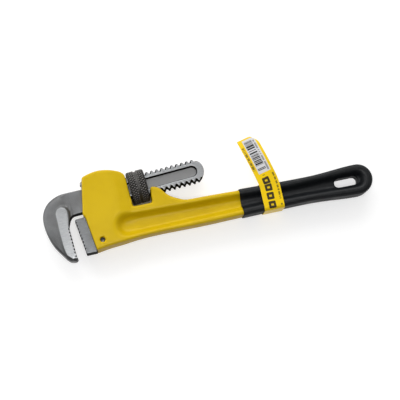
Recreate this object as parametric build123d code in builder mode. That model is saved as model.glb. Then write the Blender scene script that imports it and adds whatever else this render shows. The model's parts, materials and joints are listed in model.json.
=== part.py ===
from build123d import *
from math import atan, cos, pi, radians, sin, tan
import os

# A 14 inch pipe wrench lying on its side, jaws open towards -Y, grip towards +X.
# Millimetres. Outlines are drawn on MID, the wrench's middle plane, where x runs from the
# adjusting nut towards the grip, y runs from the handle's centre line towards the nut, and
# the jaws open towards -y. SHANK is the same plane turned along the hook jaw's screw.

# ---- Driving dimensions -------------------------------------------------------------
NUT_R = 16.1
NUT_WIDTH = 16.4
NUT_GROOVE_WIDTH = 2.6
NUT_GROOVE_DEPTH = 1.0
RIM_CHAMFER = 1.0

NUT_X = -64.9
HANDLE_Y = -18.8
SHANK_Y = 35.3
SHANK_TILT = 4.0

PITCH = 5.0
MAJOR_R = 11.8
MINOR_R = 9.6
ROOT_R = 8.6
CREST = 1.2
THREAD_FLANK = 30.0
THREAD_GAP = 0.2
BORE_GAP = 0.25
TOOTH_PHASE = 1.4
THREAD_START = -46.0
SHANK_END = 53.6
SHANK_HALF = 6.0

HEAD_HALF = 13.0
HANDLE_HALF = 11.0
HANDLE_AXIS = -0.5
HANDLE_END_R = 13.6
HANDLE_END_X = 209.5
NECK_X = 50
NECK_HALF = 13.0
WEB_HALF = 4.5
RECESS_SLOPE = 4.6
EDGE_R = 2.0

TUNNEL_GAP = 0.3
CEILING = MAJOR_R + 0.5
SPRING_GROOVE = 13.6
SEAT_LEAN = 8.73

RECESS_START = -38.0
RECESS_R = 5.5
RECESS_DEPTH = 3.4
RECESS_DRAFT = 17.0

HOOK_HALF = 8.5
HOOK_EDGE_R = 2.5
PANEL_RAISE = 0.3
JAW_TOOTH_PITCH = 3.3
JAW_TOOTH_DEPTH = 1.3
HEEL_TOOTH_COUNT = 9
HOOK_TOOTH_COUNT = 9
HEEL_HALF = 8.5
TONGUE_HALF = 4.5
PIN_R = 2.5
PIN_WALL = 1.0
PIN_SLIT = 0.6
PIN_HALF_LENGTH = 8.5
PIN_PLACE = (8.2, -26.8)

GRIP_X = 92.1
GRIP_WALL = 1.15
SLOT_X = 198.4
SLOT_LENGTH = 23.6
SLOT_WIDTH = 8.6

SPRING_HALF_WIDTH = 4.0
SPRING_THICKNESS = 0.8
SPRING_TOP = 13.4
RIVET_UP = 32.5
RIVET_R = 1.4
RIVET_HEAD_R = 2.4
RIVET_HEAD_HEIGHT = 1.2
RIVET_LENGTH = 8.0

COIL_U = -38.0
COIL_WIRE_R = 0.45
COIL_R = 2.6
COIL_TURNS = 5
COIL_LENGTH = 9.0
POCKET_R = 3.6

LABEL_X = 123.4
LABEL_WIDTH = 19.6
LABEL_FILM = 0.3
FLAG_LEAN = 14.0
FLAG_LENGTH = 46.3
BAND_HALF_WIDTH = 13.0

# ---- Frames ---------------------------------------------------------------------------
MID = Plane(origin=(NUT_X, HANDLE_Y, NUT_R))
tilt = radians(SHANK_TILT)
screw_dir = Vector(cos(tilt), sin(tilt), 0)
screw_up = Vector(-sin(tilt), cos(tilt), 0)
nut_centre = MID.from_local_coords(Vector(0, SHANK_Y, 0))
SHANK = Plane(origin=nut_centre, x_dir=screw_dir, z_dir=(0, 0, 1))
SCREW = Plane(origin=nut_centre, x_dir=screw_up, z_dir=screw_dir)
SCREW_SIDE = Plane(origin=nut_centre, x_dir=screw_dir, z_dir=-screw_up)
SIDE = Plane(origin=MID.origin, x_dir=(1, 0, 0), z_dir=(0, -1, 0))
nose = (-57.1, 16.1)
brow = (-51.6, 50.4)
seat_top = (-55.0, 15.6)
seat_dir = radians(SEAT_LEAN)
SEAT = Plane(
    origin=MID.from_local_coords(Vector(*seat_top, 0)),
    x_dir=(cos(seat_dir), sin(seat_dir), 0),
    z_dir=(0, 0, 1),
)
face_up = Vector(brow[0] - nose[0], brow[1] - nose[1], 0).normalized()
face_out = Vector(-face_up.Y, face_up.X, 0)
FRONT = Plane(origin=MID.from_local_coords(Vector(*nose, 0)), x_dir=face_out, z_dir=(0, 0, -1))
RIVET_FACE = Plane(origin=FRONT.from_local_coords(Vector(0, RIVET_UP, 0)), x_dir=(0, 0, 1), z_dir=face_out)
HEEL_TEETH = Plane(origin=SEAT.from_local_coords(Vector(-10.4, 0, 0)), x_dir=SEAT.x_dir, z_dir=(0, 0, 1))
hook_tooth_top = Vector(-71.7, 10.0, 0)
hook_tooth_end = Vector(-69.65, -20.9, 0)
hook_up = (hook_tooth_top - hook_tooth_end).normalized()
HOOK_TEETH = Plane(
    origin=MID.from_local_coords(hook_tooth_top), x_dir=(-hook_up.Y, hook_up.X, 0), z_dir=(0, 0, -1)
)
COIL_BASE = Plane(origin=SHANK.from_local_coords(Vector(COIL_U, -MAJOR_R - COIL_LENGTH, 0)), z_dir=screw_up)
BAND = Plane(
    origin=MID.from_local_coords(Vector(LABEL_X - LABEL_WIDTH / 2, HANDLE_AXIS, 0)),
    x_dir=(0, 1, 0),
    z_dir=(1, 0, 0),
)
flag_lean = radians(FLAG_LEAN)
FLAG = Plane(
    origin=MID.from_local_coords(Vector(LABEL_X - LABEL_WIDTH / 2, 12.0, 0)),
    x_dir=(-sin(flag_lean), cos(flag_lean), 0),
    z_dir=(cos(flag_lean), sin(flag_lean), 0),
)


def handle_outline(plane, grow):
    """Closed outline of the handle's shaft and its round end, drawn on a plane along MID."""
    half_widths = [(NECK_X, NECK_HALF), (92, 12.1), (145, 11.0), (168, 11.1), (190, 12.6)]
    half_widths.append((HANDLE_END_X, HANDLE_END_R))
    upper = [(x, HANDLE_AXIS + half + grow) for x, half in half_widths]
    lower = [(x, HANDLE_AXIS - half - grow) for x, half in half_widths]
    with BuildSketch(plane, mode=Mode.PRIVATE) as outline:
        with BuildLine():
            Spline(*upper, tangents=[(1, 0), (1, 0)])
            ThreePointArc(upper[-1], (HANDLE_END_X + HANDLE_END_R + grow, HANDLE_AXIS), lower[-1])
            Spline(*lower, tangents=[(1, 0), (1, 0)])
            Line(lower[0], upper[0])
        make_face()
    return outline


def recess_outline(height, inset):
    """Spoon-shaped outline of the handle's side recess at a height above MID."""
    half_widths = [(-17, 10.3), (36, 9.3), (92, 8.2), (145, 7.3), (190, 8.6), (208, 9.2)]
    upper = [(x, HANDLE_AXIS + half - inset) for x, half in half_widths]
    lower = [(x, HANDLE_AXIS - half + inset) for x, half in half_widths]
    with BuildSketch(MID.offset(height), mode=Mode.PRIVATE) as outline:
        with BuildLine():
            Spline(*upper, tangents=[(1, 0), (1, 0)])
            ThreePointArc(upper[-1], (208 + 9.2 - inset, HANDLE_AXIS), lower[-1])
            Spline(*lower, tangents=[(1, 0), (1, 0)])
            ThreePointArc(lower[0], (-17 - 10.3 + inset, HANDLE_AXIS), upper[0])
        make_face()
    return outline


# the recess's walls keep their slope from the web to the handle's side and on to the head's
recess_flare = RECESS_SLOPE * (HEAD_HALF - HANDLE_HALF) / (HANDLE_HALF - WEB_HALF)


# ---- Handle casting --------------------------------------------------------------------
with BuildPart() as handle_casting:
    with BuildSketch(MID.offset(-HEAD_HALF)):
        with BuildLine():
            Line((-49.7, -18.9), seat_top)
            Line(seat_top, nose)
            Line(nose, brow)
            ThreePointArc(brow, (-51.0, 52.4), (-49.0, 53.5))
            Spline((-49.0, 53.5), (-33.0, 56.3), (-18.3, 53.1), (-10.3, 45.0),
                   tangents=[(1, 0.35), (0.15, -1)])
            Line((-10.3, 45.0), (-8.8, 18.0))
            ThreePointArc((-8.8, 18.0), (-8.3, 16.7), (-7.0, 16.2))
            Line((-7.0, 16.2), (8.6, 16.2))
            ThreePointArc((8.6, 16.2), (9.7, 16.7), (10.2, 17.8))
            Line((10.2, 17.8), (10.4, 29.2))
            ThreePointArc((10.4, 29.2), (11.05, 30.75), (12.6, 31.4))
            Spline((12.6, 31.4), (21.2, 27.0), (26.2, 20.9), (36.3, 14.9),
                   (NECK_X, HANDLE_AXIS + NECK_HALF), tangents=[(1, 0), (1, 0)])
            Line((NECK_X, HANDLE_AXIS + NECK_HALF), (NECK_X, HANDLE_AXIS - NECK_HALF))
            Spline((NECK_X, HANDLE_AXIS - NECK_HALF), (-4, -13.8), (-24, -15.5), (-49.7, -18.9),
                   tangents=[(-1, 0), (-1, -0.28)])
        make_face()
    add(handle_outline(MID.offset(-HEAD_HALF), 0).sketch)
    extrude(amount=2 * HEAD_HALF)
    with BuildSketch(SIDE.offset(-60)):
        with BuildLine():
            Polyline((-60, -HEAD_HALF), (-21, -HEAD_HALF), (-11, -HANDLE_HALF), (240, -HANDLE_HALF),
                     (240, HANDLE_HALF), (-11, HANDLE_HALF), (-21, HEAD_HALF), (-60, HEAD_HALF), close=True)
        make_face()
    extrude(amount=120, mode=Mode.INTERSECT)
    # rounded rims of the handle's shaft and of the casting's lower side
    rims = handle_casting.edges().filter_by(GeomType.LINE, reverse=True)
    rims = rims.filter_by(lambda edge: abs((edge @ 0.5).Z - NUT_R) > HANDLE_HALF - 0.1)
    fillet(rims.filter_by(lambda edge: (edge @ 0.5).X > NUT_X + 45 or (edge @ 0.5).Y < HANDLE_Y), EDGE_R)

    # spoon-shaped recess on each side, which leaves the handle an I section
    for side in (1, -1):
        add(recess_outline(side * WEB_HALF, RECESS_SLOPE).sketch)
        add(recess_outline(side * (HEAD_HALF + 0.01), -recess_flare).sketch)
        loft(ruled=True, mode=Mode.SUBTRACT)

    # tunnel through the head and slot of the fork behind the nut, for the hook jaw's shank
    with BuildSketch(SHANK.offset(-SHANK_HALF - TUNNEL_GAP)):
        with BuildLine():
            Polyline((-62, -14.8), (-9, -12.6), (-9, CEILING), (-62, CEILING), close=True)
        make_face()
        with BuildLine():
            Polyline((9, -13), (40, -13), (40, 20), (9, 20), close=True)
        make_face()
    extrude(amount=2 * (SHANK_HALF + TUNNEL_GAP), mode=Mode.SUBTRACT)

    # groove for the flat spring in the tunnel's ceiling
    with BuildSketch(SHANK.offset(-SPRING_HALF_WIDTH - 0.2)):
        with BuildLine():
            Polyline((-62, CEILING - 1), (-22, CEILING - 1), (-22, SPRING_GROOVE),
                     (-62, SPRING_GROOVE), close=True)
        make_face()
    extrude(amount=2 * (SPRING_HALF_WIDTH + 0.2), mode=Mode.SUBTRACT)

    # slot for the heel jaw's tongue, and the cross hole for its pin
    with BuildSketch(SEAT.offset(-TONGUE_HALF - 0.1)):
        with BuildLine():
            Polyline((-1, -8.9), (14, -8.9), (14, -31.4), (-1, -31.4), close=True)
        make_face()
    extrude(amount=2 * (TONGUE_HALF + 0.1), mode=Mode.SUBTRACT)
    with BuildSketch(SEAT.offset(-HEAD_HALF)):
        with Locations(PIN_PLACE):
            Circle(PIN_R)
    extrude(amount=2 * HEAD_HALF, mode=Mode.SUBTRACT)

    # blind pocket under the shank for the coil spring
    with BuildSketch(COIL_BASE):
        Circle(POCKET_R)
    extrude(amount=COIL_LENGTH, mode=Mode.SUBTRACT)

    # rivet hole in the head's front face
    with BuildSketch(RIVET_FACE):
        Circle(RIVET_R)
    extrude(amount=-RIVET_LENGTH, mode=Mode.SUBTRACT)

    # hang slot through the handle's end, wider than the grip's own slot by the grip's wall
    with BuildSketch(MID.offset(-HANDLE_HALF)):
        with Locations((SLOT_X, HANDLE_AXIS)):
            SlotOverall(SLOT_LENGTH + 2 * GRIP_WALL, SLOT_WIDTH + 2 * GRIP_WALL)
    extrude(amount=2 * HANDLE_HALF, mode=Mode.SUBTRACT)

# ---- Heel jaw ----------------------------------------------------------------------------
with BuildPart() as heel_jaw:
    with BuildSketch(SEAT.offset(-HEEL_HALF)):
        with BuildLine():
            Polyline((0, -0.3), (0, -35.2), (-10.4, -33.8), (-10.4, -0.6), (-9.2, 0.5), close=True)
        make_face()
    extrude(amount=2 * HEEL_HALF)
    with BuildSketch(SEAT.offset(-TONGUE_HALF)):
        with BuildLine():
            Polyline((-2, -9.1), (13.5, -9.1), (13.5, -31.2), (-2, -31.2), close=True)
        make_face()
    extrude(amount=2 * TONGUE_HALF)
    # saw teeth across the gripping face, leaning towards the jaws' mouth
    with BuildSketch(HEEL_TEETH.offset(-HEEL_HALF)):
        with Locations([(0, -2.7 - JAW_TOOTH_PITCH * i) for i in range(HEEL_TOOTH_COUNT)]):
            Polygon((-0.5, 1.1), (JAW_TOOTH_DEPTH, 0.8), (JAW_TOOTH_DEPTH, 0.3), (-0.5, -1.3), align=None)
    extrude(amount=2 * HEEL_HALF, mode=Mode.SUBTRACT)
    with BuildSketch(SEAT.offset(-HEEL_HALF)):
        with Locations(PIN_PLACE):
            Circle(PIN_R)
    extrude(amount=2 * HEEL_HALF, mode=Mode.SUBTRACT)

# ---- Heel jaw pin, a rolled spring pin -----------------------------------------------------
with BuildPart() as heel_jaw_pin:
    with BuildSketch(SEAT.offset(-PIN_HALF_LENGTH)):
        with Locations(PIN_PLACE):
            Circle(PIN_R)
            Circle(PIN_R - PIN_WALL, mode=Mode.SUBTRACT)
        with Locations((PIN_PLACE[0] + PIN_R, PIN_PLACE[1])):
            Rectangle(2 * PIN_R, PIN_SLIT, mode=Mode.SUBTRACT)
    extrude(amount=2 * PIN_HALF_LENGTH)

# ---- Flat spring over the shank, hooked over the head's front face ---------------------------
strip_low = SPRING_TOP - SPRING_THICKNESS
with BuildPart() as flat_spring:
    with BuildSketch(SHANK.offset(-SPRING_HALF_WIDTH)):
        with BuildLine():
            Line((-52.1, SPRING_TOP), (-46, SPRING_TOP))
            ThreePointArc((-46, SPRING_TOP), (-35, MAJOR_R + 0.1 + SPRING_THICKNESS), (-24.5, SPRING_TOP))
            Line((-24.5, SPRING_TOP), (-24.5, strip_low))
            ThreePointArc((-24.5, strip_low), (-35, MAJOR_R + 0.1), (-46, strip_low))
            Line((-46, strip_low), (-52.1, strip_low))
            Line((-52.1, strip_low), (-52.1, SPRING_TOP))
        make_face()
    extrude(amount=2 * SPRING_HALF_WIDTH)
    with BuildSketch(FRONT.offset(-SPRING_HALF_WIDTH)):
        with BuildLine():
            Polyline((0, 28.5), (SPRING_THICKNESS, 28.5), (SPRING_THICKNESS, 34.6), (0, 34.6),
                     close=True)
        make_face()
    extrude(amount=2 * SPRING_HALF_WIDTH)
    with BuildSketch(RIVET_FACE):
        Circle(RIVET_R)
    extrude(amount=SPRING_THICKNESS, mode=Mode.SUBTRACT)

# ---- Rivet of the flat spring ----------------------------------------------------------------
with BuildPart() as spring_rivet:
    with BuildSketch(RIVET_FACE):
        Circle(RIVET_R)
    extrude(amount=-RIVET_LENGTH + 0.2)
    with BuildSketch(RIVET_FACE):
        Circle(RIVET_R)
    extrude(amount=SPRING_THICKNESS)
    with BuildSketch(RIVET_FACE.offset(SPRING_THICKNESS)):
        Circle(RIVET_HEAD_R)
    extrude(amount=RIVET_HEAD_HEIGHT)
    head_top = spring_rivet.faces().sort_by(Axis(RIVET_FACE.origin, RIVET_FACE.z_dir))[-1]
    fillet(head_top.edges(), 1.0)

# ---- Coil spring in its pocket -----------------------------------------------------------------
coil_height = COIL_LENGTH - 2 * COIL_WIRE_R - 0.1
coil_start = COIL_BASE.from_local_coords(Vector(0, 0, COIL_WIRE_R + 0.05))
with BuildPart() as coil_spring:
    with BuildLine():
        coil = Helix(coil_height / COIL_TURNS, coil_height, COIL_R, center=coil_start,
                     direction=COIL_BASE.z_dir)
    with BuildSketch(Plane(origin=coil @ 0, z_dir=coil % 0)):
        Circle(COIL_WIRE_R)
    sweep(is_frenet=True)

# ---- Adjusting nut -------------------------------------------------------------------------------
# The thread's ridge is wound about the Z axis and then placed on the screw's axis.
nut_ridge_r = MINOR_R + BORE_GAP
ridge_depth = MAJOR_R + 0.7 - nut_ridge_r


def groove_width(radius):
    """Width of the shank's thread groove at a radius, less the play on both flanks."""
    return PITCH - CREST - 2 * (MAJOR_R - radius) * tan(radians(THREAD_FLANK)) - 2 * THREAD_GAP


foot_half = groove_width(nut_ridge_r) / 2
tip_half = groove_width(nut_ridge_r + ridge_depth) / 2
with BuildPart() as nut_thread:
    with BuildLine():
        wind = Helix(PITCH, 4.5 * PITCH, nut_ridge_r, center=(0, 0, TOOTH_PHASE - 2.5 * PITCH))
    with BuildSketch(Plane(origin=wind @ 0, x_dir=(1, 0, 0), z_dir=wind % 0)):
        with BuildLine():
            Polyline((0, foot_half), (ridge_depth, tip_half), (ridge_depth, -tip_half), (0, -foot_half),
                     close=True)
        make_face()
    sweep(is_frenet=True)
    Cylinder(NUT_R, NUT_WIDTH, mode=Mode.INTERSECT)

with BuildPart() as adjusting_nut:
    with BuildSketch(SCREW.offset(-NUT_WIDTH / 2)):
        Circle(NUT_R)
        Circle(MAJOR_R + BORE_GAP, mode=Mode.SUBTRACT)
    extrude(amount=NUT_WIDTH)
    chamfer(adjusting_nut.edges().filter_by(GeomType.CIRCLE).group_by(SortBy.RADIUS)[-1], RIM_CHAMFER)
    with BuildSketch(SCREW.offset(-NUT_GROOVE_WIDTH / 2)):
        Circle(NUT_R + 1)
        Circle(NUT_R - NUT_GROOVE_DEPTH, mode=Mode.SUBTRACT)
    extrude(amount=NUT_GROOVE_WIDTH, mode=Mode.SUBTRACT)
    add(SCREW.location * nut_thread.part)

# ---- Hook jaw ----------------------------------------------------------------------------------------
def ridge_segment(side):
    """One thread ridge over a quarter turn, on the shank's upper (1) or lower (-1) edge."""
    lead = side * atan(PITCH / (2 * pi * (MAJOR_R + MINOR_R) / 2))
    ring_axis = screw_dir * cos(lead) - Vector(0, 0, 1) * sin(lead)
    start_up = screw_up - ring_axis.cross(screw_up)
    ring_start = Plane(origin=nut_centre, x_dir=ring_axis, z_dir=ring_axis.cross(start_up))
    half_root = CREST / 2 + (MAJOR_R - ROOT_R) * tan(radians(THREAD_FLANK))
    with BuildPart() as ridge:
        with BuildSketch(ring_start):
            with BuildLine():
                Polyline((-CREST / 2, side * MAJOR_R), (CREST / 2, side * MAJOR_R),
                         (half_root, side * ROOT_R), (-half_root, side * ROOT_R), close=True)
            make_face()
        revolve(axis=Axis(nut_centre, ring_axis), revolution_arc=90)
    return ridge.part


upper_ridge = ridge_segment(1)
lower_ridge = ridge_segment(-1)
ridge_places = [TOOTH_PHASE + PITCH * i for i in range(-9, 12)]
with BuildPart() as threaded_shank:
    with BuildSketch(SCREW.offset(THREAD_START)):
        Circle(MINOR_R)
    extrude(amount=SHANK_END + MAJOR_R - THREAD_START)
    with Locations([screw_dir * place for place in ridge_places]):
        add(upper_ridge)
    with Locations([screw_dir * (place + PITCH / 2) for place in ridge_places]):
        add(lower_ridge)
    with BuildSketch(SHANK.offset(-SHANK_HALF)):
        with BuildLine():
            Line((THREAD_START, MAJOR_R), (SHANK_END, MAJOR_R))
            ThreePointArc((SHANK_END, MAJOR_R), (SHANK_END + MAJOR_R, 0), (SHANK_END, -MAJOR_R))
            Line((SHANK_END, -MAJOR_R), (THREAD_START, -MAJOR_R))
            Line((THREAD_START, -MAJOR_R), (THREAD_START, MAJOR_R))
        make_face()
    extrude(amount=2 * SHANK_HALF, mode=Mode.INTERSECT)


def hook_outline(plane):
    """Silhouette of the hook and its neck, seen from the side."""
    with BuildSketch(plane, mode=Mode.PRIVATE) as outline:
        with BuildLine():
            Line((-45.2, 42.8), (-66, 42.1))
            Spline((-66, 42.1), (-75.3, 41.4), (-82.8, 38.5), (-89.4, 33.1), (-93.7, 24.5), (-94.3, 14.3),
                   (-92.6, 4.6), (-86.4, -10.0), (-80.0, -19.1), (-77.0, -22.4),
                   tangents=[(-1, -0.02), (0.74, -0.67)])
            ThreePointArc((-77.0, -22.4), (-74.9, -23.65), (-72.4, -24.0))
            ThreePointArc((-72.4, -24.0), (-69.9, -23.4), (-68.8, -21.6))
            Line((-68.8, -21.6), (hook_tooth_end.X, hook_tooth_end.Y))
            Line((hook_tooth_end.X, hook_tooth_end.Y), (hook_tooth_top.X, hook_tooth_top.Y))
            Spline((hook_tooth_top.X, hook_tooth_top.Y), (-70.3, 13.6), (-68.6, 17.0), (-66.2, 19.1),
                   (-63.5, 19.7), tangents=[(0.25, 1), (1, 0.06)])
            Line((-63.5, 19.7), (-45.2, 20.9))
            Line((-45.2, 20.9), (-45.2, 42.8))
        make_face()
    return outline


with BuildPart() as hook_jaw:
    add(hook_outline(MID.offset(-HOOK_HALF)).sketch)
    extrude(amount=2 * HOOK_HALF)
    rims = hook_jaw.edges().filter_by(lambda edge: abs((edge @ 0.5).Z - NUT_R) > HOOK_HALF - 0.1)
    rims = rims.filter_by(lambda edge: (edge @ 0.5).X < NUT_X - 85 or (edge @ 0.5).Y > HANDLE_Y + 40)
    fillet(rims, HOOK_EDGE_R)

    # the hook thins down to the neck, ahead of the head's front face
    with BuildSketch(SCREW_SIDE.offset(-70)):
        with BuildLine():
            Polyline((-110, -HOOK_HALF), (-71, -HOOK_HALF), (-66.5, -SHANK_HALF), (-44, -SHANK_HALF),
                     (-44, SHANK_HALF), (-66.5, SHANK_HALF), (-71, HOOK_HALF), (-110, HOOK_HALF),
                     close=True)
        make_face()
    extrude(amount=140, mode=Mode.INTERSECT)

    # ground side panels along the teeth
    with BuildSketch(MID.offset(-HOOK_HALF - PANEL_RAISE)):
        with BuildLine():
            Spline((-81.2, 23.1), (-80.9, 10), (-79.8, -7), (-77.9, -16.9), (-73.0, -21.7))
            Polyline((-73.0, -21.7), (-69.5, -21.7), (-71.6, 10.0), (-70.6, 23.1))
            ThreePointArc((-70.6, 23.1), (-75.9, 28.4), (-81.2, 23.1))
        make_face()
        add(hook_outline(MID).sketch_local, mode=Mode.INTERSECT)
    extrude(amount=2 * (HOOK_HALF + PANEL_RAISE))

    # saw teeth across the gripping face, leaning towards the throat
    with BuildSketch(HOOK_TEETH.offset(-HOOK_HALF - PANEL_RAISE)):
        with Locations([(0, -2.9 - JAW_TOOTH_PITCH * i) for i in range(HOOK_TOOTH_COUNT)]):
            Polygon((-0.5, -1.1), (JAW_TOOTH_DEPTH, -0.8), (JAW_TOOTH_DEPTH, -0.3), (-0.5, 1.3), align=None)
    extrude(amount=2 * (HOOK_HALF + PANEL_RAISE), mode=Mode.SUBTRACT)
    add(threaded_shank.part)

    # tapered recess along each side of the shank, round at its end
    for side in (1, -1):
        with BuildSketch(SHANK.offset(side * SHANK_HALF)):
            with Locations(((SHANK_END + RECESS_START) / 2, 0)):
                SlotOverall(SHANK_END - RECESS_START + 2 * RECESS_R, 2 * RECESS_R)
        extrude(amount=-side * RECESS_DEPTH, taper=RECESS_DRAFT, mode=Mode.SUBTRACT)

# ---- Grip, a dipped vinyl sleeve over the handle's end ---------------------------------------
with BuildPart() as grip:
    with BuildSketch(MID.offset(-HANDLE_HALF - GRIP_WALL)):
        add(handle_outline(MID, GRIP_WALL).sketch_local)
        with Locations((GRIP_X - 50, 0)):
            Rectangle(100, 60, mode=Mode.SUBTRACT)
    extrude(amount=2 * (HANDLE_HALF + GRIP_WALL))
    rims = grip.edges().filter_by(lambda edge: (edge @ 0.5).X > NUT_X + GRIP_X + 1)
    rims = rims.filter_by(lambda edge: abs((edge @ 0.5).Z - NUT_R) > HANDLE_HALF + GRIP_WALL - 0.1)
    fillet(rims, EDGE_R + GRIP_WALL)
    for side in (1, -1):
        add(recess_outline(side * (WEB_HALF + GRIP_WALL), RECESS_SLOPE + 0.6).sketch)
        add(recess_outline(side * (HANDLE_HALF + GRIP_WALL + 0.01), 0.6).sketch)
        loft(ruled=True, mode=Mode.SUBTRACT)
    with BuildSketch(MID.offset(-HANDLE_HALF)):
        with Locations((SLOT_X, HANDLE_AXIS)):
            SlotOverall(SLOT_LENGTH, SLOT_WIDTH)
    extrude(amount=2 * HANDLE_HALF, mode=Mode.SUBTRACT)
    add(handle_casting.part, mode=Mode.SUBTRACT)

# ---- Label, a film band around the grip with its ends joined as a flag ---------------------------
back = HANDLE_HALF + GRIP_WALL
with BuildPart() as label:
    with BuildSketch(BAND) as band:
        Rectangle(2 * (BAND_HALF_WIDTH + LABEL_FILM), 2 * (HANDLE_HALF + GRIP_WALL + LABEL_FILM))
        fillet(band.vertices(), EDGE_R + GRIP_WALL + LABEL_FILM)
        offset(amount=-LABEL_FILM, mode=Mode.SUBTRACT)
    extrude(amount=LABEL_WIDTH)
    with BuildSketch(FLAG):
        with BuildLine():
            ThreePointArc((-4, back), (FLAG_LENGTH / 2, back + 1), (FLAG_LENGTH, back - 3))
            Line((FLAG_LENGTH, back - 3), (FLAG_LENGTH, back - 3 + 2 * LABEL_FILM))
            ThreePointArc((FLAG_LENGTH, back - 3 + 2 * LABEL_FILM),
                          (FLAG_LENGTH / 2, back + 1 + 2 * LABEL_FILM), (-4, back + 2 * LABEL_FILM))
            Line((-4, back + 2 * LABEL_FILM), (-4, back))
        make_face()
    extrude(amount=LABEL_WIDTH)

NODES = {
    "handle_casting": handle_casting,
    "heel_jaw": heel_jaw,
    "heel_jaw_pin": heel_jaw_pin,
    "flat_spring": flat_spring,
    "spring_rivet": spring_rivet,
    "coil_spring": coil_spring,
    "adjusting_nut": adjusting_nut,
    "hook_jaw": hook_jaw,
    "grip": grip,
    "label": label,
}
os.makedirs("parts", exist_ok=True)
for name, node in NODES.items():
    node.part.label = name
    export_step(node.part, f"parts/{name}.step")
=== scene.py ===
import json
import math

import bmesh
import bpy
import numpy as np
from mathutils import Matrix, Vector


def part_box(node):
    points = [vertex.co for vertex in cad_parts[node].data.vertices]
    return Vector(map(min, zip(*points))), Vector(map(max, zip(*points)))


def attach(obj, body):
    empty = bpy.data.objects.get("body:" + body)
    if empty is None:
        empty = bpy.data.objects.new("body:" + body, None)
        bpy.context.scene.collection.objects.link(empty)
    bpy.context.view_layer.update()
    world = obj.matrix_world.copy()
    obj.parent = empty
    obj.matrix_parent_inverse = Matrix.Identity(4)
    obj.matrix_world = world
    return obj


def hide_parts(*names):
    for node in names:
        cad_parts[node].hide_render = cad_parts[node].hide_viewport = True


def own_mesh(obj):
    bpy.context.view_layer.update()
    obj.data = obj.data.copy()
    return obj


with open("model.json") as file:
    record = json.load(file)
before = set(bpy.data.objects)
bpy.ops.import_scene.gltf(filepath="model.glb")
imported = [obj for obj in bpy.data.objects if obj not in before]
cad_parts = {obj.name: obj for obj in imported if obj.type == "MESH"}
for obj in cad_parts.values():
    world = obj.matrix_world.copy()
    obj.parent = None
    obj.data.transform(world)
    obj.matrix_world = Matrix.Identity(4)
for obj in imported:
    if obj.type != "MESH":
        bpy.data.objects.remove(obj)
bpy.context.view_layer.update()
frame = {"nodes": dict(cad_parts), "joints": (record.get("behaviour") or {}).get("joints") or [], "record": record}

# The looks of a 14 inch pipe wrench that lies on its side, jaws towards -X and -Y.
# Lengths are in metres in the row frame; MM turns millimetres into them.

MM = 0.001
joints = {joint["name"]: joint for joint in frame["joints"]}
nut_centre = Vector(joints["nut_spin"]["pos_m"])
screw_dir = Vector(joints["nut_spin"]["axis"]).normalized()
screw_up = Vector((0, 0, 1)).cross(screw_dir)
MID_Z = nut_centre.z
grip_low, grip_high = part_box("grip")
heel_low, heel_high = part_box("heel_jaw")
slot_centre = next(Vector(m["pos_m"]) for m in frame["record"]["mounts"] if m["name"] == "hang_slot")
AXIS_Y = (grip_low.y + grip_high.y) / 2
nodes = frame["nodes"]
# the origin of the flat drawing that the outlines below are measured in
SHIFT_X, SHIFT_Y = nut_centre.x, AXIS_Y + 0.5 * MM
# a point on each jaw's line of teeth, and the way that the teeth face
HOOK_TEETH = Vector((SHIFT_X - 71.7 * MM, SHIFT_Y + 10 * MM, 0))
HOOK_FACING = Vector((30.9, 2.05, 0)).normalized()
HEEL_TEETH = Vector((SHIFT_X - 65.3 * MM, SHIFT_Y + 14 * MM, 0))
HEEL_FACING = Vector((-math.cos(math.radians(8.73)), -math.sin(math.radians(8.73)), 0))


# ---- Meshes ---------------------------------------------------------------------------
def evaluated(obj):
    """The object's mesh with its modifiers applied, as a new mesh."""
    graph = bpy.context.evaluated_depsgraph_get()
    return bpy.data.meshes.new_from_object(obj.evaluated_get(graph))


def new_object(name, mesh):
    obj = bpy.data.objects.new(name, mesh)
    bpy.context.scene.collection.objects.link(obj)
    return obj


def replace_mesh(obj, mesh):
    """Gives obj that mesh and takes its modifiers off."""
    old = obj.data
    obj.modifiers.clear()
    obj.data = mesh
    bpy.data.meshes.remove(old)


def points_of(mesh):
    points = np.empty(len(mesh.vertices) * 3, np.float32)
    mesh.vertices.foreach_get("co", points)
    return points.reshape(-1, 3).astype(float)


def step(values, low, high):
    """Smooth step from 0 at low to 1 at high."""
    t = np.clip((values - low) / (high - low), 0, 1)
    return t * t * (3 - 2 * t)


def relax(points, mesh, passes, weight):
    """Moves each point towards its neighbours' middle, by its weight, in every pass."""
    ends = np.empty(len(mesh.edges) * 2, np.int32)
    mesh.edges.foreach_get("vertices", ends)
    a, b = ends[0::2], ends[1::2]
    count = len(points)
    valence = np.bincount(a, minlength=count) + np.bincount(b, minlength=count)
    for _ in range(passes):
        for axis in range(3):
            line = points[:, axis]
            total = np.bincount(a, line[b], count) + np.bincount(b, line[a], count)
            points[:, axis] = line + 0.5 * weight * (total / valence - line)
    return points


def solid(name, sources, voxel, passes, keep, weight=None, shape=None):
    """One skin around the source meshes, with edges rounded by relaxing, then thinned out."""
    joined = bmesh.new()
    for mesh in sources:
        joined.from_mesh(mesh)
    mesh = bpy.data.meshes.new(name)
    joined.to_mesh(mesh)
    joined.free()
    obj = new_object(name, mesh)
    remesh = obj.modifiers.new("remesh", "REMESH")
    remesh.mode = "VOXEL"
    remesh.voxel_size = voxel
    replace_mesh(obj, evaluated(obj))
    points = points_of(obj.data)
    share = np.ones(len(points)) if weight is None else weight(points)
    points = relax(points, obj.data, passes, share)
    if shape is not None:
        points = shape(points, obj.data)
    obj.data.vertices.foreach_set("co", points.astype(np.float32).ravel())
    obj.data.update()
    if keep < 1:
        thin = obj.modifiers.new("thin", "DECIMATE")
        thin.ratio = keep
        replace_mesh(obj, evaluated(obj))
    obj.data.shade_smooth()
    return obj


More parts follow.
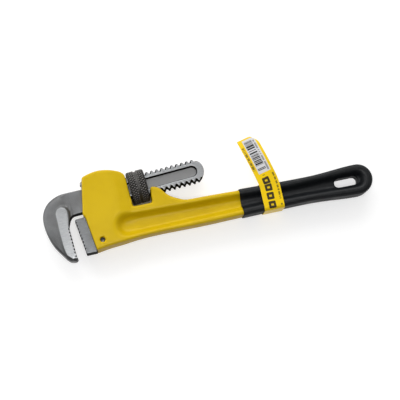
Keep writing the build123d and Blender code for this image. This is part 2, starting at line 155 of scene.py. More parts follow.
def grid_mesh(name, rows, close_rows=False, close_columns=False, uv=None):
    """Quads over an array of points, rows by columns by 3, with an optional UV for each point."""
    down, across = rows.shape[:2]
    row_ends = range(down if close_rows else down - 1)
    column_ends = range(across if close_columns else across - 1)
    faces = [
        (i * across + j, i * across + (j + 1) % across,
         (i + 1) % down * across + (j + 1) % across, (i + 1) % down * across + j)
        for i in row_ends for j in column_ends
    ]
    mesh = bpy.data.meshes.new(name)
    mesh.from_pydata(rows.reshape(-1, 3).tolist(), [], faces)
    if uv is not None:
        layer = mesh.uv_layers.new(name="print")
        corners = np.empty(len(mesh.loops), np.int32)
        mesh.loops.foreach_get("vertex_index", corners)
        layer.data.foreach_set("uv", uv.reshape(-1, 2)[corners].astype(np.float32).ravel())
    mesh.update()
    mesh.shade_smooth()
    return mesh


# ---- Shader helpers ---------------------------------------------------------------------
class Shader:
    """A principled material and short names for the nodes that feed it."""

    def __init__(self, name, **constants):
        self.material = bpy.data.materials.new(name)
        self.material.use_nodes = True
        self.tree = self.material.node_tree
        self.bsdf = self.tree.nodes["Principled BSDF"]
        coords = self.tree.nodes.new("ShaderNodeTexCoord")
        self.place = coords.outputs["Object"]
        for socket, value in constants.items():
            self.bsdf.inputs[socket.replace("_", " ")].default_value = value

    def node(self, kind, **properties):
        made = self.tree.nodes.new("ShaderNode" + kind)
        for name, value in properties.items():
            setattr(made, name, value)
        return made

    def put(self, socket, value):
        if isinstance(value, bpy.types.NodeSocket):
            self.tree.links.new(value, socket)
        else:
            socket.default_value = value

    def math(self, operation, a, b=0.0, clamp=False):
        made = self.node("Math", operation=operation, use_clamp=clamp)
        self.put(made.inputs[0], a)
        self.put(made.inputs[1], b)
        return made.outputs[0]

    def ramp(self, value, low, high, to_low=0.0, to_high=1.0, smooth=True):
        made = self.node("MapRange", interpolation_type="SMOOTHSTEP" if smooth else "LINEAR")
        for index, number in enumerate((value, low, high, to_low, to_high)):
            self.put(made.inputs[index], number)
        return made.outputs[0]

    def scaled(self, factors, turn=(0.0, 0.0, 0.0)):
        made = self.node("Mapping")
        self.put(made.inputs["Vector"], self.place)
        made.inputs["Rotation"].default_value = turn
        made.inputs["Scale"].default_value = factors
        return made.outputs[0]

    def noise(self, scale, detail=3.0, roughness=0.5, place=None, distortion=0.0):
        made = self.node("TexNoise")
        self.put(made.inputs["Vector"], self.place if place is None else place)
        made.inputs["Scale"].default_value = scale
        made.inputs["Detail"].default_value = detail
        made.inputs["Roughness"].default_value = roughness
        made.inputs["Distortion"].default_value = distortion
        return made.outputs[0]

    def axes(self, vector=None):
        made = self.node("SeparateXYZ")
        self.put(made.inputs[0], self.place if vector is None else vector)
        return made.outputs

    def mix(self, factor, a, b):
        made = self.node("Mix", data_type="RGBA")
        self.put(made.inputs[0], factor)
        self.put(made.inputs[6], a)
        self.put(made.inputs[7], b)
        return made.outputs[2]

    def bump(self, *layers):
        """Stacks (height, strength, distance) layers of bump on the surface."""
        normal = None
        for height, strength, distance in layers:
            made = self.node("Bump")
            made.inputs["Strength"].default_value = strength
            made.inputs["Distance"].default_value = distance
            self.put(made.inputs["Height"], height)
            if normal is not None:
                self.put(made.inputs["Normal"], normal)
            normal = made.outputs[0]
        self.put(self.bsdf.inputs["Normal"], normal)

    def beyond(self, point, normal):
        """How far the surface lies beyond the plane through a point."""
        made = self.node("VectorMath", operation="DOT_PRODUCT")
        self.put(made.inputs[0], self.place)
        made.inputs[1].default_value = normal
        return self.math("SUBTRACT", made.outputs["Value"], point.dot(normal))

    def upright(self, none=0.75, full=0.45):
        """1 where the surface stands on edge, 0 where it faces up or down."""
        up = self.axes(self.node("NewGeometry").outputs["Normal"])[2]
        return self.ramp(self.math("ABSOLUTE", up), none, full)

    def set(self, socket, value):
        self.put(self.bsdf.inputs[socket], value)

    def paint_shade(self, colour, dark, metallic):
        """Base colour, painted black and without shine where dark is 1: painted shade in the notches and on walls
        that stand in shade.
        """
        self.set("Base Color", self.mix(dark, colour, grey(0.008)))
        self.set("Metallic", self.ramp(dark, 0, 1, metallic, 0.0))
        self.set("Specular IOR Level", self.ramp(dark, 0, 1, 0.5, 0.0))


def grey(level, warmth=0.0):
    return (level * (1 + warmth), level, level * (1 - warmth), 1.0)


# ---- Materials ----------------------------------------------------------------------------
# the adjusting nut's radius, half width and half the width of its groove, in millimetres
NUT_R = 16.1
NUT_HALF = 8.2
GROOVE_HALF = 1.3
# the hook jaw: where its shank begins, how far from the middle plane the hook's panel and the shank's
# rim are ground, and the distances from the screw's axis that its web ends and its thread begins between
SHANK_X = -0.112
PANEL_GROUND = 8.58 * MM
RIM_GROUND = 5.72 * MM
WEB_EDGE = (6.2 * MM, 5.8 * MM)
THREAD_ROOT = (7.6 * MM, 8.6 * MM)
# how far below the line of its teeth a jaw's notches are painted dark, as painted shade
NOTCH = (-1.6 * MM, -1.3 * MM)
# the height of the lip at the hook's tip, where the teeth and their painted shade end, and of the throat's upper
# end, where its painted shade ends
LIP = (SHIFT_Y - 21.2 * MM, SHIFT_Y - 20.4 * MM)
THROAT_TOP = (SHIFT_Y + 26 * MM, SHIFT_Y + 24 * MM)


def enamel():
    """Glossy yellow enamel over a sand casting, whose grain still shows through."""
    s = Shader("yellow_enamel", Coat_Weight=0.06, Coat_Roughness=0.3)
    edge_on = s.upright(0.4, 0.15)
    s.set("Specular IOR Level", s.ramp(edge_on, 0, 1, 0.13, 0.02))
    tone = s.ramp(s.noise(26, 3, 0.6), 0.3, 0.7)
    grain = s.noise(1500, 2, 0.6)
    colour = s.mix(tone, (0.515, 0.345, 0.0008, 1), (0.565, 0.385, 0.002, 1))
    colour = s.mix(s.ramp(grain, 0.62, 0.8, 0, 0.25), colour, (0.38, 0.235, 0.001, 1))
    # painted shade: the casting's sides that stand on edge are mixed towards a darker yellow
    colour = s.mix(s.math("MULTIPLY", edge_on, 0.55), colour, (0.36, 0.215, 0.001, 1))
    s.set("Base Color", colour)
    s.set("Roughness", s.ramp(s.noise(180, 3, 0.6), 0.3, 0.7, 0.34, 0.46))
    cast = s.noise(620, 4, 0.6)
    waves = s.noise(90, 2, 0.5)
    s.bump((waves, 0.35, 0.6 * MM), (cast, 0.55, 0.16 * MM), (grain, 0.35, 0.06 * MM))
    return s.material


def jaw_steel():
    """Sand-blasted forging, ground bright on its raised panels and on the shank's flat sides."""
    s = Shader("jaw_steel")
    x, y, z = s.axes()
    height = s.math("ABSOLUTE", s.math("SUBTRACT", z, MID_Z))
    behind = s.ramp(x, SHANK_X, SHANK_X + 2 * MM)
    ground_at = s.ramp(behind, 0, 1, PANEL_GROUND, RIM_GROUND, smooth=False)
    ground = s.ramp(s.math("SUBTRACT", height, ground_at), -0.04 * MM, 0.1 * MM)
    across = s.math("ADD", s.math("MULTIPLY", s.math("SUBTRACT", x, nut_centre.x), screw_up.x),
                    s.math("MULTIPLY", s.math("SUBTRACT", y, nut_centre.y), screw_up.y))
    across = s.math("ABSOLUTE", across)
    edge = s.ramp(across, *THREAD_ROOT)
    flank = s.math("MULTIPLY", s.math("MULTIPLY", edge, behind), s.math("SUBTRACT", 1.0, ground))
    blasted = s.noise(1400, 3, 0.65)
    patches = s.noise(45, 4, 0.6)
    forged = s.mix(s.ramp(patches, 0.3, 0.7), grey(0.125, -0.01), grey(0.17, -0.03))
    # painted shade: the forging darkens towards -Y, the side away from the key light
    forged = s.mix(s.ramp(y, SHIFT_Y + 22 * MM, SHIFT_Y - 18 * MM, 0, 0.75), forged, grey(0.06, -0.01))
    forged = s.mix(s.ramp(blasted, 0.5, 0.75, 0, 0.5), forged, grey(0.2))
    forged = s.mix(s.math("MULTIPLY", s.ramp(across, *WEB_EDGE), behind), forged, grey(0.2))
    # painted shade: the thread's flanks on the shank are mixed to near black
    forged = s.mix(flank, forged, grey(0.022, 0.25))
    lines = s.noise(1.0, 3, 0.7, place=s.scaled((260, 2600, 260)), distortion=0.4)
    bright = s.mix(s.ramp(lines, 0.35, 0.65), grey(0.30, -0.02), grey(0.37, -0.025))
    bright = s.mix(s.ramp(s.noise(120, 4, 0.7), 0.58, 0.8, 0, 0.35), bright, grey(0.3))
    colour = s.mix(ground, forged, bright)
    # painted shade: the walls of the notches between the teeth are painted black
    into_gap = s.beyond(HOOK_TEETH, HOOK_FACING)
    notch = s.math("MULTIPLY", s.ramp(into_gap, *NOTCH), s.upright())
    notch = s.math("MULTIPLY", notch, s.ramp(y, *LIP))
    # painted shade: the throat's upright wall behind the teeth is painted dark too
    throat = s.math("MULTIPLY", s.upright(), s.ramp(x, HOOK_TEETH.x - 1 * MM, HOOK_TEETH.x + 1 * MM))
    throat = s.math("MULTIPLY", throat, s.ramp(x, SHANK_X, SHANK_X - 2 * MM))
    throat = s.math("MULTIPLY", throat, s.ramp(y, *THROAT_TOP))
    dark = s.math("MAXIMUM", s.math("MULTIPLY", notch, 0.97), s.math("MULTIPLY", throat, 0.8))
    s.paint_shade(colour, dark, 0.9)
    s.set("Roughness", s.ramp(ground, 0, 1, 0.46, 0.36, smooth=False))
    s.bump((blasted, 0.5, 0.12 * MM), (patches, 0.3, 0.5 * MM), (lines, 0.25, 0.05 * MM))
    return s.material


def heel_steel():
    """Ground tool steel, with the grinding lines along the jaw's thickness direction."""
    s = Shader("heel_steel")
    lines = s.noise(1.0, 3, 0.7, place=s.scaled((240, 2800, 240), turn=(0, 0, -0.15)), distortion=0.5)
    stains = s.noise(110, 4, 0.65)
    colour = s.mix(s.ramp(lines, 0.3, 0.7), grey(0.14, -0.03), grey(0.2, -0.035))
    colour = s.mix(s.ramp(stains, 0.5, 0.75, 0, 0.25), colour, grey(0.1, 0.03))
    # painted shade: the notch walls between the teeth and the jaw's upright lower end are painted black
    into_gap = s.beyond(HEEL_TEETH, HEEL_FACING)
    mouth_end = s.ramp(s.axes()[1], heel_low.y + 1.2 * MM, heel_low.y + 0.8 * MM)
    dark = s.math("MAXIMUM", s.ramp(into_gap, *NOTCH), mouth_end)
    s.paint_shade(colour, s.math("MULTIPLY", s.math("MULTIPLY", dark, s.upright()), 0.97), 0.95)
    s.set("Roughness", s.ramp(stains, 0.3, 0.7, 0.36, 0.48))
    s.bump((lines, 0.35, 0.05 * MM), (stains, 0.15, 0.2 * MM))
    return s.material


def blackened():
    """Blackened steel, brown where the oil has stayed; the knurl's tips are lighter, partly wear and partly a
    painted glint, and everything below them is darker, as painted shade in the knurl's valleys.
    """
    s = Shader("blackened_steel", Metallic=0.75)
    across = s.node("VectorMath", operation="SUBTRACT")
    s.put(across.inputs[0], s.place)
    across.inputs[1].default_value = nut_centre
    side = s.node("VectorMath", operation="CROSS_PRODUCT")
    s.put(side.inputs[0], across.outputs[0])
    side.inputs[1].default_value = screw_dir
    radius = s.node("VectorMath", operation="LENGTH")
    s.put(radius.inputs[0], side.outputs[0])
    tip_wear_and_glint = s.ramp(radius.outputs["Value"], 15.6 * MM, 15.9 * MM)
    along = s.beyond(nut_centre, screw_dir)
    oil = s.noise(210, 4, 0.65)
    colour = s.mix(s.ramp(oil, 0.35, 0.65), grey(0.028, 0.08), grey(0.05, 0.05))
    colour = s.mix(s.ramp(oil, 0.62, 0.75, 0, 0.5), colour, (0.075, 0.052, 0.028, 1))
    # painted glint and shade: bright on the knurl's tips, near black below them
    colour = s.mix(tip_wear_and_glint, grey(0.014, 0.08), s.mix(0.6, colour, grey(0.26, 0.04)))
    smooth = s.ramp(s.math("ABSOLUTE", along), GROOVE_HALF * MM, (GROOVE_HALF + 0.4) * MM)
    colour = s.mix(smooth, grey(0.06, 0.05), colour)
    s.set("Base Color", colour)
    s.set("Roughness", s.ramp(oil, 0.3, 0.7, 0.38, 0.55))
    s.bump((s.noise(1600, 2, 0.5), 0.3, 0.05 * MM))
    return s.material


def spring_steel(name, level):
    """Tempered steel with a slight straw and blue cast."""
    s = Shader(name, Metallic=0.9)
    temper = s.noise(160, 3, 0.6)
    s.set("Base Color", s.mix(s.ramp(temper, 0.35, 0.65), grey(level, 0.08), grey(level * 1.4, -0.05)))
    s.set("Roughness", s.ramp(temper, 0.3, 0.7, 0.3, 0.45))
    s.bump((s.noise(1.0, 2, 0.5, place=s.scaled((900, 900, 4000))), 0.2, 0.03 * MM))
    return s.material


def vinyl():
    """Black dipped vinyl: glossy, softly uneven, with a fine pebble."""
    s = Shader("black_vinyl", Coat_Weight=0.03, Coat_Roughness=0.4)
    s.set("Specular IOR Level", s.ramp(s.upright(), 0, 1, 0.22, 0.04))
    dust = s.noise(300, 4, 0.7)
    s.set("Base Color", s.mix(s.ramp(dust, 0.4, 0.75), grey(0.006, -0.14), grey(0.011, -0.12)))
    s.set("Roughness", s.ramp(s.noise(60, 3, 0.6), 0.3, 0.7, 0.42, 0.52))
    s.bump((s.noise(150, 2, 0.5), 0.5, 0.25 * MM), (s.noise(1100, 2, 0.5), 0.3, 0.06 * MM))
    return s.material


# The label's print is laid out in millimetres: across its width from the left, and along it
# from the flag's tip to the band.
LABEL_WIDTH = 19.6
PANEL = (4.4, 17.0, 1.6, 38.4)
BARS = (5.4, 13.4, 3.0, 37.2)
BAR_STEP = 0.42
ICONS = (46.4, 53.8, 62.2, 70.9)
ICON_MIDDLE = 8.2
ICON_HALF = 3.5
BLANK_HALF = (1.3, 1.0)
LEFT_DASHES = (0.9, 3.1, 7.5, 33.5)
RIGHT_DASHES = (16.2, 18.0, 41.5, 74.0)
SHORT_DASH = (7.0, 9.4, 40.2, 41.0)
DIGITS = (14.2, 15.9, BARS[2], BARS[3])
EDGE_BLUR = 0.06


def label_film(printed):
    """Yellow film; its front carries a generic bar panel, four blank tiles and dashes."""
    s = Shader("label_print" if printed else "label_back",
               Coat_Weight=0.06, Coat_Roughness=0.3, Specular_IOR_Level=0.15)
    tone = s.ramp(s.noise(60, 2, 0.5), 0.3, 0.7)
    colour = s.mix(tone, (0.73, 0.49, 0.001, 1), (0.77, 0.52, 0.002, 1))
    s.set("Roughness", s.ramp(s.noise(400, 3, 0.6), 0.3, 0.7, 0.3, 0.42))
    s.bump((s.noise(130, 2, 0.5), 0.25, 0.3 * MM))
    if printed:
        uv = s.node("UVMap", uv_map="print")
        u, v, _ = s.axes(uv.outputs[0])

        def within(value, low, high):
            past_low = s.ramp(value, low - EDGE_BLUR, low + EDGE_BLUR)
            return s.math("MULTIPLY", past_low, s.ramp(value, high + EDGE_BLUR, high - EDGE_BLUR))

        def area(left, right, top, bottom):
            return s.math("MULTIPLY", within(u, left, right), within(v, top, bottom))

        def chance(value, size, share):
            made = s.node("TexWhiteNoise", noise_dimensions="1D")
            s.put(made.inputs["W"], s.math("FLOOR", s.math("DIVIDE", value, size)))
            return s.math("LESS_THAN", made.outputs["Value"], share)

        def tile(middle):
            """A rounded square with a small blank square inside it."""
            du = s.math("SUBTRACT", s.math("ABSOLUTE", s.math("SUBTRACT", u, ICON_MIDDLE)), ICON_HALF - 1)
            dv = s.math("SUBTRACT", s.math("ABSOLUTE", s.math("SUBTRACT", v, middle)), ICON_HALF - 1)
            far = s.math("SQRT", s.math("ADD", s.math("POWER", s.math("MAXIMUM", du, 0.0), 2.0),
                                        s.math("POWER", s.math("MAXIMUM", dv, 0.0), 2.0)))
            whole = s.ramp(far, 1.06, 0.94)
            half_u, half_v = BLANK_HALF
            blank = area(ICON_MIDDLE - half_u, ICON_MIDDLE + half_u, middle - half_v, middle + half_v)
            return s.math("SUBTRACT", whole, s.math("MULTIPLY", blank, 0.8), clamp=True)

        ink = s.math("MULTIPLY", area(*LEFT_DASHES), chance(v, 0.75, 0.62))
        ink = s.math("MAXIMUM", ink, s.math("MULTIPLY", area(*RIGHT_DASHES), chance(v, 0.9, 0.6)))
        ink = s.math("MAXIMUM", ink, area(*SHORT_DASH))
        ink = s.math("MULTIPLY", ink, 0.75)
        for middle in ICONS:
            ink = s.math("MAXIMUM", ink, tile(middle))
        bars = s.math("MULTIPLY", area(*BARS), chance(v, BAR_STEP, 0.52))
        digits = s.math("MULTIPLY", area(*DIGITS), chance(v, 1.1, 0.7))
        bars = s.math("MAXIMUM", bars, s.math("MULTIPLY", digits, 0.6))
        colour = s.mix(area(*PANEL), colour, (0.55, 0.55, 0.56, 1))
        colour = s.mix(s.math("MULTIPLY", s.math("MAXIMUM", ink, bars), 0.96), colour, grey(0.012, 0.05))
    s.set("Base Color", colour)
    return s.material


# ---- Handle casting -------------------------------------------------------------------------
# the middle of the recess's near end, in the head
RECESS_END_X = SHIFT_X - 20 * MM
# how far the casting is drawn in below the grip
UNDER_GRIP = 0.7 * MM


def casting_shape(points, mesh):
    """Lets the recess fade out in the head, and draws the casting in a little below the grip."""
    from_end = np.hypot(points[:, 0] - RECESS_END_X, points[:, 1] - AXIS_Y)
    points = relax(points, mesh, 120, 1 - step(from_end, 9 * MM, 16 * MM))
    normals = np.empty(len(points) * 3, np.float32)
    mesh.vertices.foreach_set("co", points.astype(np.float32).ravel())
    mesh.update()
    mesh.vertices.foreach_get("normal", normals)
    inwards = UNDER_GRIP * step(points[:, 0], grip_low.x + 0.5 * MM, grip_low.x + 3 * MM)
    return points - normals.reshape(-1, 3) * inwards[:, None]


def casting_weight(points):
    """Leaves the nut's window, the fork's slot and the jaw's seat crisper than the rest."""
    beside_nut = step(np.abs(points[:, 0] - nut_centre.x - 0.5 * MM), 11 * MM, 16 * MM)
    below_nut = step(nut_centre.y - 22 * MM - points[:, 1], -1 * MM, 3 * MM)
    seat = np.hypot(points[:, 0] - heel_high.x, points[:, 1] - (heel_low.y + heel_high.y) / 2)
    return (0.4 + 0.6 * np.maximum(beside_nut, below_nut)) * (0.5 + 0.5 * step(seat, 16 * MM, 26 * MM))


casting = solid("painted_casting", [nodes["handle_casting"].data], voxel=0.5 * MM, passes=40, keep=0.3,
                weight=casting_weight, shape=casting_shape)
casting.data.materials.append(enamel())
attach(casting, "frame")
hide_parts("handle_casting")

# ---- Hook jaw -------------------------------------------------------------------------------
# the ground panel's outline beside the teeth, from its round top to the jaw's tip
PANEL_LINE = np.array([
    (-69.5, -21.7), (-71.6, 10), (-70.6, 23.1), (-72.2, 26.9), (-75.9, 28.4), (-79.6, 26.9), (-81.2, 23.1),
    (-80.9, 10), (-79.8, -7), (-77.9, -16.9), (-73, -21.7),
]) * MM
PANEL_PEAK = 4
# half the thickness of the hook and of its shank, in millimetres, and where the one thins down to the other
HOOK_HALF, SHANK_HALF = 8.5, 6.0
THINNING = (-71, -66.5)


def away_from_panel(points):
    """Distance in the side view from the ground panel, 0 inside it, and the points in that view."""
    flat = points[:, :2] - np.array([SHIFT_X, SHIFT_Y])
    best = np.full(len(points), 1.0)
    for a, b in zip(PANEL_LINE[:-1], PANEL_LINE[1:]):
        along = b - a
        t = np.clip(((flat - a) @ along) / (along @ along), 0, 1)
        best = np.minimum(best, np.linalg.norm(flat - a - t[:, None] * along, axis=1))
    left_side, right_side = PANEL_LINE[:PANEL_PEAK - 1:-1], PANEL_LINE[:PANEL_PEAK + 1]
    left = np.interp(flat[:, 1], left_side[:, 1], left_side[:, 0])
    right = np.interp(flat[:, 1], right_side[:, 1], right_side[:, 0])
    low, high = PANEL_LINE[0, 1], PANEL_LINE[PANEL_PEAK, 1]
    inside = (flat[:, 0] > left) & (flat[:, 0] < right) & (flat[:, 1] > low) & (flat[:, 1] < high)
    return np.where(inside, 0, best), flat


def hook_weight(points):
    """Rounds the forging, and leaves the teeth and the thread crisp."""
    away, flat = away_from_panel(points)
    forged = step(away, 0.3 * MM, 1.5 * MM) * step(-flat[:, 0], 46 * MM, 50 * MM)
    return 0.08 + 0.92 * forged


def hook_shape(points, mesh):
    """Lets the forging's sides fall away from the ground panel, thinner towards its outer rim."""
    away, flat = away_from_panel(points)
    x, away = flat[:, 0] / MM, away / MM
    cad_half = np.interp(x, THINNING, [HOOK_HALF, SHANK_HALF])
    drop = 1.0 * step(away, 0, 2.6) + 1.8 * step(x, -78, -69) * step(away, 0, 4.5)
    rim = np.minimum(0.02 * (away - 3).clip(0) ** 2, 2.0) * step(-x, 64, 72)
    half = np.clip(HOOK_HALF - drop - rim, SHANK_HALF, cad_half)
    half = np.where((away <= 0) | (x > -62), cad_half, half)
    points[:, 2] = MID_Z + (points[:, 2] - MID_Z) * half / cad_half
    return points


hook = solid("forged_hook_jaw", [nodes["hook_jaw"].data], voxel=0.33 * MM, passes=24, keep=0.32,
             weight=hook_weight, shape=hook_shape)
hook.data.materials.append(jaw_steel())
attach(hook, "hook")
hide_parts("hook_jaw")

# ---- Heel jaw -------------------------------------------------------------------------------
heel = solid("ground_heel_jaw", [nodes["heel_jaw"].data], voxel=0.25 * MM, passes=3, keep=0.35)
heel.data.materials.append(heel_steel())
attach(heel, "frame")
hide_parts("heel_jaw")

# ---- Adjusting nut --------------------------------------------------------------------------
# in millimetres, like NUT_R: the groove, the bevelled rims, the bore, the thread's ridge and the knurl
GROOVE_DEPTH = 1.0
RIM = 1.0
BORE = 12.05
RIDGE = 2.1
PITCH = 5.0
RIDGE_PHASE = 1.4
KNURL_DEPTH = 0.9
KNURL_COUNT = 38
KNURL_LEAN = 0.7
AROUND = 684


def knurl(angle, along):
    """Depth of a diamond knurl below the nut's rim, in millimetres."""
    a = KNURL_COUNT * angle
    b = 2 * math.pi * along / (2 * math.pi * NUT_R / KNURL_COUNT) * KNURL_LEAN
    crests = np.minimum(np.abs(np.sin((a + b) / 2)), np.abs(np.sin((a - b) / 2)))
    return KNURL_DEPTH * (1 - crests)


def nut_rows():
    """The nut's outline, walked round from its bore, as rows of points about the screw's axis."""
    angle = np.arange(AROUND) * 2 * math.pi / AROUND
    outer = np.concatenate([
        [-NUT_HALF, -NUT_HALF + RIM * 0.3], np.arange(-NUT_HALF + RIM, -GROOVE_HALF - 0.05, 0.22),
        [-GROOVE_HALF, -GROOVE_HALF + 0.3, -GROOVE_HALF + 0.7, 0],
        [GROOVE_HALF - 0.7, GROOVE_HALF - 0.3, GROOVE_HALF],
        np.arange(GROOVE_HALF + 0.05, NUT_HALF - RIM + 0.01, 0.22), [NUT_HALF - RIM * 0.3, NUT_HALF],
    ])
    rows = []
    for along in outer:
        rim = max(0.0, abs(along) - (NUT_HALF - RIM))
        in_groove = float(np.interp(abs(along), [GROOVE_HALF - 0.35, GROOVE_HALF], [1, 0]))
        band = [GROOVE_HALF, GROOVE_HALF + 0.4, NUT_HALF - RIM - 0.1, NUT_HALF - RIM + 0.5]
        banded = float(np.interp(abs(along), band, [0, 1, 1, 0]))
        radius = NUT_R - rim - GROOVE_DEPTH * in_groove - 0.02 - knurl(angle, along) * banded
        rows.append((radius, np.full(AROUND, along)))
    for radius in np.linspace(NUT_R - RIM - 0.4, BORE + 0.6, 6):
        rows.append((np.full(AROUND, radius), np.full(AROUND, NUT_HALF)))
    for along in np.arange(NUT_HALF, -NUT_HALF - 0.01, -0.25):
        phase = (along - RIDGE_PHASE - PITCH / 2 + PITCH * angle / (2 * math.pi)) % PITCH - PITCH / 2
        ridge = RIDGE * np.clip((1.7 - np.abs(phase)) / 1.2, 0, 1)
        ends = min(1.0, (NUT_HALF - abs(along)) / 1.0)
        rows.append((BORE + 0.5 * (1 - ends) - ridge * ends, np.full(AROUND, along)))
    for radius in np.linspace(BORE + 0.6, NUT_R - RIM - 0.4, 6):
        rows.append((np.full(AROUND, radius), np.full(AROUND, -NUT_HALF)))
    return angle, rows


def make_nut():
    angle, rows = nut_rows()
    up, dir_, side = (np.array(v) for v in (screw_up, screw_dir, screw_dir.cross(screw_up)))
    ring = np.cos(angle)[:, None] * up + np.sin(angle)[:, None] * side
    points = [np.array(nut_centre) + (r[:, None] * ring + z[:, None] * dir_) * MM for r, z in rows]
    return new_object("knurled_nut", grid_mesh("knurled_nut", np.array(points), True, True))


nut = make_nut()
nut.data.materials.append(blackened())
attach(nut, "nut")
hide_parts("adjusting_nut")

# ---- Grip -----------------------------------------------------------------------------------
def cut_casting():
    """The casting's end from the grip's rim on, closed where it is cut."""
    cut = bmesh.new()
    cut.from_mesh(nodes["handle_casting"].data)
    everything = cut.verts[:] + cut.edges[:] + cut.faces[:]
    plane = Vector((grip_low.x + 0.6 * MM, 0, 0))
    found = bmesh.ops.bisect_plane(cut, geom=everything, plane_co=plane, plane_no=(1, 0, 0),
                                   clear_inner=True)
    rim = [e for e in found["geom_cut"] if isinstance(e, bmesh.types.BMEdge)]
    bmesh.ops.holes_fill(cut, edges=rim)
    mesh = bpy.data.meshes.new("casting_end")
    cut.to_mesh(mesh)
    cut.free()
    return mesh


def grip_weight(points):
    """Leaves the hang slot's rim crisper than the rest."""
    along = np.maximum(np.abs(points[:, 0] - slot_centre.x) - 7.5 * MM, 0)
    return 0.2 + 0.8 * step(np.hypot(along, points[:, 1] - slot_centre.y), 5.5 * MM, 9 * MM)


grip = solid("dipped_grip", [nodes["grip"].data, cut_casting()], voxel=0.5 * MM, passes=64, keep=0.3,
             weight=grip_weight)
grip.data.materials.append(vinyl())
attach(grip, "frame")
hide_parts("grip")

# ---- Label ----------------------------------------------------------------------------------
# in millimetres: the band round the grip, and the flag that leans, bows, droops and curls at a corner
LABEL_X = 123.4
FILM = 0.16
FLAG_LEAN = math.radians(14)
FLAG_TOP = 52.4
FACE_Z = 12.36
SIDE_Y = 13.27
CORNER = 3.4
CURL_R = 3.5
CURL_TURN = math.radians(36)
CURL_START = 31.6
LEAN_HEIGHTS = (4.5, 20.5)
BOW_HEIGHT = 0.9
BOW_LENGTH = 40
DROOP = 0.0035
DROOP_START = 22
RETURN_START = 4


def band_line():
    """The band's centre line from the flag's foot down the front, round the back and up again."""
    corners = [(1, 1), (-1, 1), (-1, -1), (1, -1)]
    line = [(SIDE_Y - CORNER, FACE_Z)]
    for index, (sy, sz) in enumerate(corners[1:]):
        middle = (sy * (SIDE_Y - CORNER), sz * (FACE_Z - CORNER))
        start = math.pi / 2 * (1 + index)
        for turn in np.linspace(0, math.pi / 2, 7):
            y = middle[0] + CORNER * math.cos(start + turn)
            z = middle[1] + CORNER * math.sin(start + turn)
            line.append((y, z))
    line.append((SIDE_Y, FACE_Z - CORNER - 2))
    return line


def resampled(line, spacing):
    line = np.array(line, float)
    lengths = np.concatenate([[0], np.cumsum(np.linalg.norm(np.diff(line, axis=0), axis=1))])
    at = np.linspace(0, lengths[-1], int(lengths[-1] / spacing) + 1)
    return at, np.stack([np.interp(at, lengths, line[:, k]) for k in range(line.shape[1])], axis=1)


def flag_point(along, across, lift):
    """A point on the flag: along it from its foot, across it from its middle, lifted off its back."""
    bow = BOW_HEIGHT * math.sin(math.pi * min(along, BOW_LENGTH) / BOW_LENGTH)
    bow -= DROOP * max(0.0, along - DROOP_START) ** 2
    q = across * math.cos(CURL_TURN) + along * math.sin(CURL_TURN) - CURL_START
    drop = 0.0
    if q > 0:
        turn = q / CURL_R
        shorter = q - CURL_R * math.sin(turn)
        across -= shorter * math.cos(CURL_TURN)
        along -= shorter * math.sin(CURL_TURN)
        drop = CURL_R * (1 - math.cos(turn))
    return along, across, FACE_Z + lift + bow - drop


def label_rows(front):
    """Rows of points, and their place in the print, for the printed face or for the film's return."""
    columns = np.linspace(0, LABEL_WIDTH, 40)
    rows, uv = [], []
    foot_y = SIDE_Y - CORNER

    def lean_at(height):
        return FLAG_LEAN * float(step(np.array(height), *LEAN_HEIGHTS))

    heights, xs = np.linspace(-15, foot_y + FLAG_TOP, 300), [0.0]
    for low, high in zip(heights[:-1], heights[1:]):
        xs.append(xs[-1] - math.tan(lean_at((low + high) / 2)) * (high - low))
    base = float(np.interp(0.0, heights, xs))

    def sheet_point(y, z, across, lean):
        x = LABEL_X + float(np.interp(y, heights, xs)) - base
        return (x + across * math.cos(lean), y + across * math.sin(lean), z)

    for along in np.linspace(FLAG_TOP, 0, 84 if front else 60):
        if not front and along < RETURN_START:
            continue
        row = []
        for column in columns:
            a, c, z = flag_point(along, column - LABEL_WIDTH / 2, 0.0 if front else -2 * FILM)
            y = foot_y + a * math.cos(FLAG_LEAN)
            row.append(sheet_point(y, z, c, lean_at(y)))
        rows.append(row)
        uv.append([(column, FLAG_TOP - along) for column in columns])
    tucked = [(foot_y + 4.6, FACE_Z - 0.6), (SIDE_Y + 0.5, FACE_Z - 2.4),
              (SIDE_Y + 0.1, FACE_Z - CORNER - 1.5)]
    at, line = resampled(band_line() if front else tucked, 0.6)
    for length, (y, z) in zip(at[1:], line[1:]):
        lean = lean_at(y) if z > FACE_Z - 5 and y < foot_y + 1 or not front else 0.0
        row = [sheet_point(y, z, column - LABEL_WIDTH / 2, lean) for column in columns]
        rows.append(row)
        uv.append([(column, FLAG_TOP + length) for column in columns])
    rows = np.array(rows) * MM + np.array([SHIFT_X, AXIS_Y, MID_Z])
    return rows, np.array(uv)


def make_label(name, front):
    rows, uv = label_rows(front)
    obj = new_object(name, grid_mesh(name, rows, uv=uv))
    obj.data.materials.append(label_film(front))
    thick = obj.modifiers.new("film", "SOLIDIFY")
    thick.thickness = FILM * MM
    thick.offset = 0
    replace_mesh(obj, evaluated(obj))
    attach(obj, "frame")
    return obj


label_front = make_label("label_front", True)
make_label("label_return", False)
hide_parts("label")

# ---- Coil spring ----------------------------------------------------------------------------
def make_coil():
    """The spring under the shank, which the hook jaw squeezes when it rocks; here the CAD's own mesh, riding
    rigidly on the spring carrier.
    """
    coil = new_object("squeezed_coil_spring", nodes["coil_spring"].data.copy())
    coil.data.materials.clear()
    coil.data.materials.append(spring_steel("coil_spring_steel", 0.22))
    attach(coil, "spring_carrier")
    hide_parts("coil_spring")
    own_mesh(coil)


make_coil()

# ---- Small steel pieces, as the CAD has them --------------------------------------------------
# painted shade: the heel jaw's pin, deep in its hole, is given a near black level of 0.02
for node, level in (("heel_jaw_pin", 0.02), ("flat_spring", 0.2), ("spring_rivet", 0.26)):
    nodes[node].data.materials.clear()
    nodes[node].data.materials.append(spring_steel(node + "_steel", level))


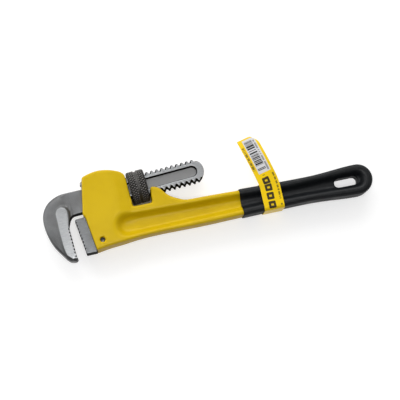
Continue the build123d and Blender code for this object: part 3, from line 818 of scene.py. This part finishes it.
# ---- Floor, light and camera ----------------------------------------------------------------
def make_floor():
    """A pale floor with a faint glow, which is left out in a small disc under the nut's window as a painted shadow
    seen through it.
    """
    size = 3.0
    lines = np.linspace(-size, size, 9)
    rows = np.array([[(x, y, -0.0002) for x in lines] for y in lines])
    floor = new_object("floor", grid_mesh("floor", rows))
    s = Shader("pale_floor", Roughness=0.9, Emission_Color=(1, 1, 1, 1))
    s.set("Base Color", s.mix(s.noise(3, 2, 0.5), grey(0.49), grey(0.52)))
    # painted shadow: no glow within a small disc under the nut's window
    from_nut = s.node("VectorMath", operation="DISTANCE")
    s.put(from_nut.inputs[0], s.place)
    from_nut.inputs[1].default_value = (nut_centre.x, nut_centre.y - 14 * MM, 0)
    s.set("Emission Strength", s.ramp(from_nut.outputs["Value"], 13 * MM, 18 * MM, 0.0, 0.55))
    floor.data.materials.append(s.material)


def area_light(name, place, target, size, watts):
    light = bpy.data.lights.new(name, "AREA")
    light.shape = "RECTANGLE"
    light.size, light.size_y = size
    light.energy = watts
    obj = new_object(name, light)
    obj.location = place
    obj.rotation_euler = (Vector(target) - Vector(place)).to_track_quat("-Z", "Y").to_euler()


def make_world():
    """Soft studio surroundings: bright at the sides, dimmer overhead, and dark in front."""
    world = bpy.data.worlds.new("studio")
    world.use_nodes = True
    bpy.context.scene.world = world
    tree = world.node_tree
    coords = tree.nodes.new("ShaderNodeTexCoord")
    split = tree.nodes.new("ShaderNodeSeparateXYZ")
    ramp = tree.nodes.new("ShaderNodeMapRange")
    front = tree.nodes.new("ShaderNodeMapRange")
    both = tree.nodes.new("ShaderNodeMath")
    both.operation = "MULTIPLY"
    tree.links.new(coords.outputs["Generated"], split.inputs[0])
    for made, axis, values in ((ramp, 2, (0.2, 1.0, 1.0, 0.35)), (front, 1, (-0.5, 0.2, 0.12, 1.0))):
        tree.links.new(split.outputs[axis], made.inputs[0])
        for index, value in enumerate(values, start=1):
            made.inputs[index].default_value = value
    tree.links.new(ramp.outputs[0], both.inputs[0])
    tree.links.new(front.outputs[0], both.inputs[1])
    tree.links.new(both.outputs[0], tree.nodes["Background"].inputs["Strength"])
    tree.nodes["Background"].inputs["Color"].default_value = (1, 1, 1, 1)


ROLL = math.radians(12.2)
CAMERA = Vector((-117, -178.2, 1016)) * MM
TARGET = Vector((-8.9, -7.75, 16.1)) * MM
LENS = 95.4
# each light's name, place, target and size in metres, and its power in watts
LIGHTS = (
    ("key", (0.05, 0.95, 0.8), (-0.02, 0, 0), (1.2, 0.7), 9),
    ("left", (-0.9, 0.25, 0.7), (-0.02, 0, 0), (0.6, 0.9), 3),
    ("front", (-0.1, -0.17, 1.0), (-0.01, 0, 0), (0.3, 0.3), 3.5),
)


def make_camera():
    """Above the wrench, turned so that the handle rises to the right."""
    data = bpy.data.cameras.new("camera")
    data.lens = LENS
    data.sensor_width = 36.0
    data.clip_end = 50
    camera = new_object("camera", data)
    forward = (TARGET - CAMERA).normalized()
    right = forward.cross(Vector((math.sin(ROLL), math.cos(ROLL), 0))).normalized()
    up = right.cross(forward)
    camera.matrix_world = Matrix.Translation(CAMERA) @ Matrix((right, up, -forward)).transposed().to_4x4()
    bpy.context.scene.camera = camera


make_floor()
make_world()
for light in LIGHTS:
    area_light(*light)
make_camera()
bpy.context.scene.view_settings.view_transform = "Standard"
